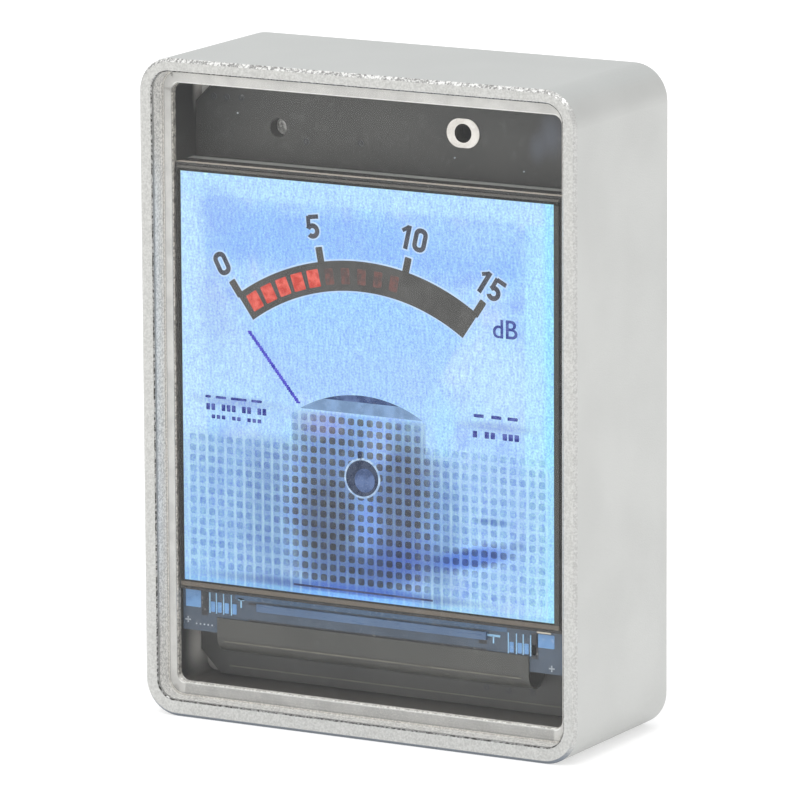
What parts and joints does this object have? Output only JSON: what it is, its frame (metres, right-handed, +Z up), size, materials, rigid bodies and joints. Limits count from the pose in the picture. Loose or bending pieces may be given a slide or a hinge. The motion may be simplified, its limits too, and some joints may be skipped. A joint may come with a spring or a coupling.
{
  "type": "level meter",
  "caption": "Small desk audio level meter: a lit square display behind a clear window in a rounded aluminium case, with a power socket and push buttons on the back.",
  "frame": {"origin": "middle of the underside of the case", "axes": "+Z up, +X to the right as seen from the front, the display faces -Y"},
  "size_m": [0.0324, 0.013, 0.0442],
  "materials": {
    "blasted_aluminium": "bead-blasted and clear anodised; machined dark inside",
    "cover_aluminium": "bead-blasted and clear anodised",
    "clear_acrylic": "clear, polished",
    "adhesive_film": "clear transfer tape",
    "lit_picture": "back-lit colour picture of a dial behind a glossy polarizer",
    "display_glass": "dark border glass",
    "ledge_glass": "dark blue glass with printed traces",
    "driver_silicon": "polished bare silicon",
    "flex_film": "black coated polyimide",
    "tray_plastic": "moulded black",
    "polarizer_film": "smooth film",
    "diffuser_film": "frosted film",
    "guide_acrylic": "clear moulded acrylic",
    "reflector_film": "silver-white film",
    "led_package": "white package with a yellow window",
    "foam_tape": "black foam",
    "black_solder_mask": "semi-gloss black coating on glass fibre board",
    "tinned_copper": "solder tinned",
    "stamped_steel": "stamped and nickel plated",
    "mesh_metal": "fine etched mesh",
    "chip_epoxy": "moulded epoxy",
    "capacitor_ceramic": "tan ceramic with tinned ends",
    "resistor_ceramic": "black glaze with tinned ends",
    "socket_steel": "drawn and nickel plated",
    "socket_plastic": "moulded black",
    "gold_contact": "gold flashed",
    "switch_plastic": "moulded black",
    "spring_steel": "bright rolled",
    "button_plastic": "moulded dark grey",
    "screw_steel": "plated"
  },
  "bodies": {
    "meter": {"case_shell": "blasted_aluminium", "front_window": "clear_acrylic", "window_adhesive": "adhesive_film", "front_polarizer": "lit_picture", "color_filter_glass": "display_glass", "tft_glass": "ledge_glass", "driver_chip": "driver_silicon", "display_flex": "flex_film", "backlight_tray": "tray_plastic", "rear_polarizer": "polarizer_film", "diffuser_films": "diffuser_film", "light_guide": "guide_acrylic", "reflector_sheet": "reflector_film", "backlight_leds": "led_package", "display_tape": "foam_tape", "main_board": "black_solder_mask", "plated_eyelet": "tinned_copper", "microphone": "stamped_steel", "microphone_mesh": "mesh_metal", "controller_chip": "chip_epoxy", "memory_chip": "chip_epoxy", "regulator_chip": "chip_epoxy", "crystal": "stamped_steel", "capacitors": "capacitor_ceramic", "resistors": "resistor_ceramic", "usb_socket_shell": "socket_steel", "usb_socket_tongue": "socket_plastic", "usb_contacts": "gold_contact", "mode_switch_base": "switch_plastic", "mode_switch_plate": "stamped_steel", "mode_switch_dome": "spring_steel", "level_switch_base": "switch_plastic", "level_switch_plate": "stamped_steel", "level_switch_dome": "spring_steel", "back_cover": "cover_aluminium", "cover_screws": "screw_steel"},
    "mode_button_unit": {"mode_switch_stem": "switch_plastic", "mode_button": "button_plastic"},
    "level_button_unit": {"level_switch_stem": "switch_plastic", "level_button": "button_plastic"}
  },
  "joints": [
    {"name": "mode_button_press", "type": "slide", "parent": "meter", "child": "mode_button_unit", "axis": [0, -1, 0], "range_m": [0, 0.00025], "stiffness_N_per_m": 3000},
    {"name": "level_button_press", "type": "slide", "parent": "meter", "child": "level_button_unit", "axis": [0, -1, 0], "range_m": [0, 0.00025], "stiffness_N_per_m": 3000}
  ]
}
